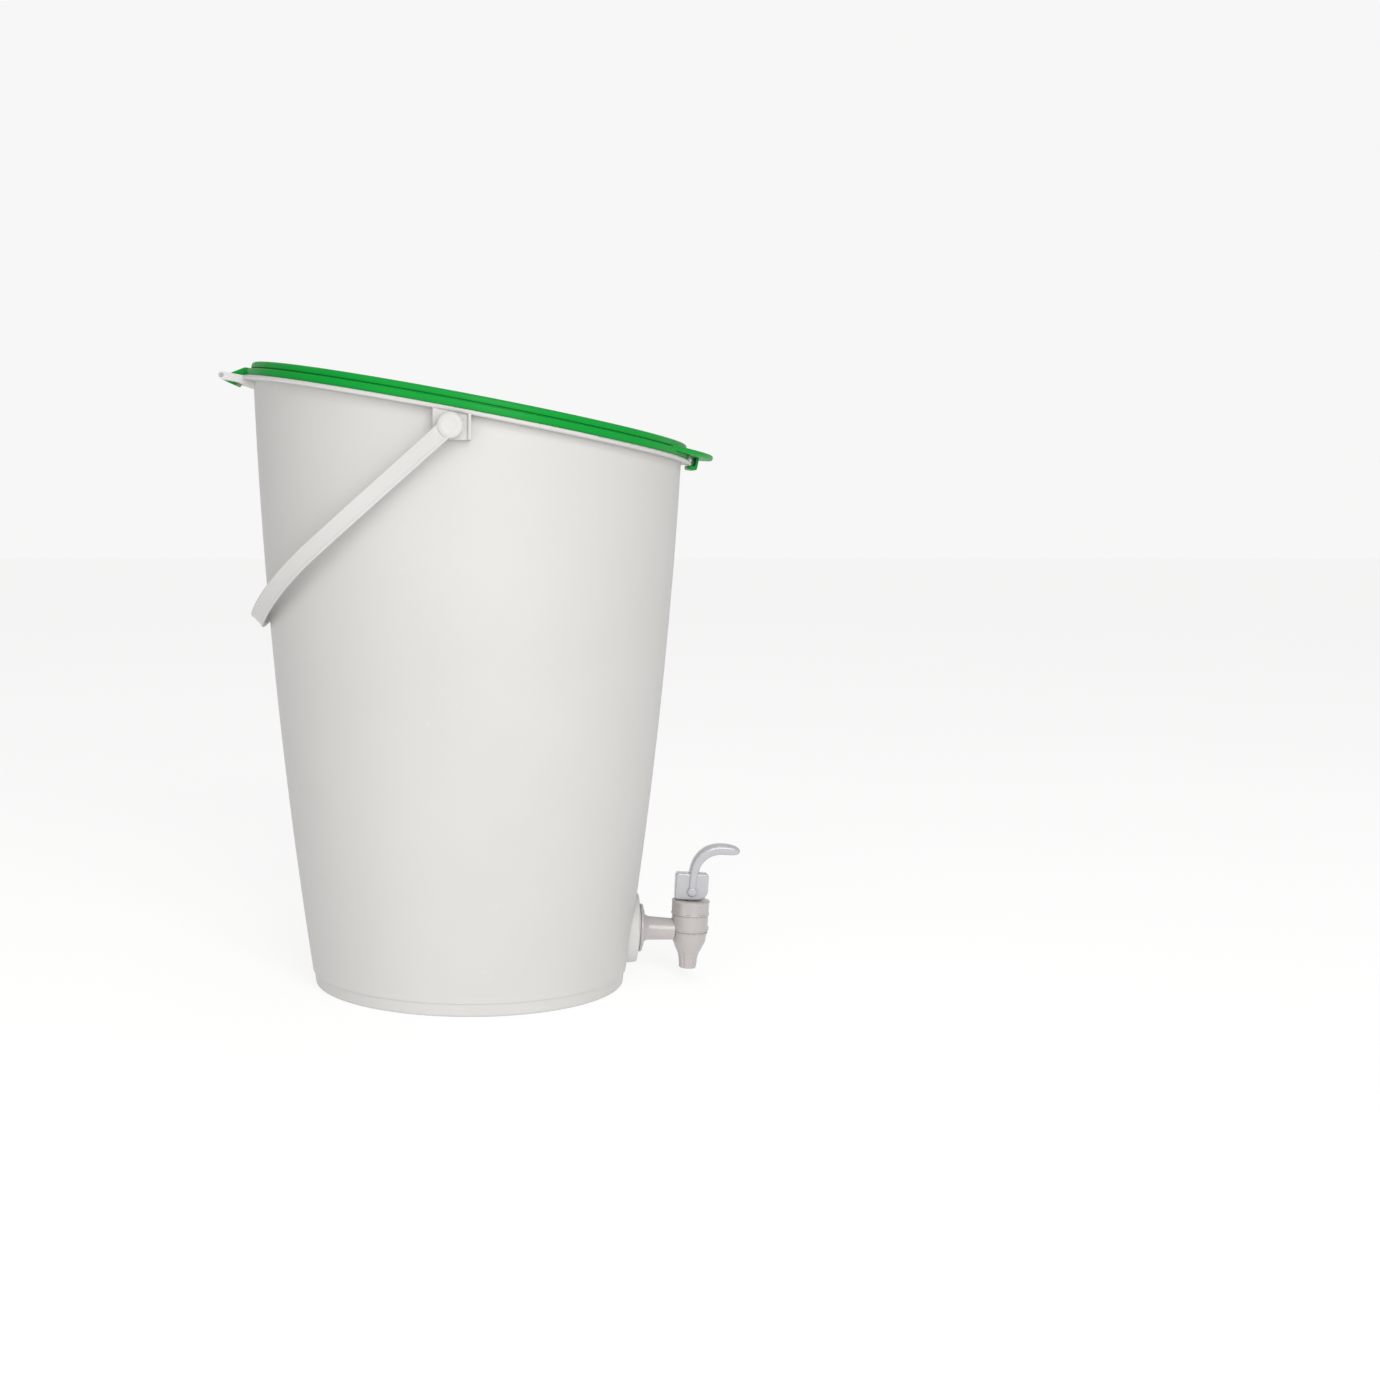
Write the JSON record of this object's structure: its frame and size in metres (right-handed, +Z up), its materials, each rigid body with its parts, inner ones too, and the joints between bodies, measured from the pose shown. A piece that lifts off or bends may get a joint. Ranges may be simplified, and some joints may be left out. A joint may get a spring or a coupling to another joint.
{
  "type": "fermenting bucket",
  "caption": "Tapered plastic fermenting bucket with a slanting rim, hinged snap-down lid, swinging handle, lift-out strainer and a small lever tap at its foot.",
  "frame": {"origin": "centre of the flat underside of the bucket, on the surface it stands on", "axes": "+Z up, +X forward to the tap, +Y to the left seen from behind the tap; the bucket is the same on both sides of the XZ plane"},
  "size_m": [0.3498, 0.3266, 0.4184],
  "materials": {
    "bucket_plastic": "satin off-white moulded polypropylene",
    "lid_plastic": "semi-gloss bright green moulded polypropylene",
    "handle_plastic": "satin off-white moulded plastic",
    "strainer_plastic": "satin pale grey moulded plastic",
    "tap_plastic": "satin light grey moulded plastic",
    "lever_plastic": "smooth cool white moulded plastic",
    "seal_rubber": "soft translucent white silicone",
    "pin_steel": "bright stainless wire"
  },
  "bodies": {
    "bucket": {"bucket_shell": "bucket_plastic", "hinge_pin": "pin_steel", "tap_body": "tap_plastic", "tap_bonnet": "tap_plastic", "tap_seat_cup": "seal_rubber", "tap_spring": "pin_steel", "tap_outer_washer": "seal_rubber", "tap_inner_washer": "seal_rubber", "tap_back_nut": "tap_plastic"},
    "lid": {"lid_shell": "lid_plastic", "lid_latch_hook": "lid_plastic", "lid_seal_ring": "seal_rubber"},
    "handle": {"carry_handle": "handle_plastic"},
    "strainer": {"strainer_plate": "strainer_plastic"},
    "plunger": {"tap_stem": "tap_plastic", "tap_lever_pin": "pin_steel"},
    "lever": {"tap_lever": "lever_plastic"}
  },
  "joints": [
    {"name": "lid_hinge", "type": "hinge", "parent": "bucket", "child": "lid", "pos_m": [-0.16228, 0, 0.40944], "axis": [0, -1, 0], "range_deg": [0, 190], "deforming": ["lid_latch_hook"]},
    {"name": "handle_swing", "type": "hinge", "parent": "bucket", "child": "handle", "pos_m": [-0.0115, 0, 0.3724], "axis": [0, 1, 0], "range_deg": [0, 195]},
    {"name": "strainer_lift", "type": "slide", "parent": "bucket", "child": "strainer", "axis": [0, 0, 1], "range_m": [0, 0.25]},
    {"name": "tap_stem_lift", "type": "slide", "parent": "bucket", "child": "plunger", "axis": [0.0419, 0, 0.9991], "range_m": [0, 0.00339], "stiffness_N_per_m": 400, "springref_m": -0.003, "deforming": ["tap_spring", "tap_seat_cup"]},
    {"name": "tap_lever", "type": "hinge", "parent": "plunger", "child": "lever", "pos_m": [0.15251, 0, 0.06056], "axis": [0, 1, 0], "range_deg": [0, 52]}
  ],
  "couplings": [
    {"joint": "tap_lever", "follows": "tap_stem_lift", "rad_per_m": 257.4}
  ]
}
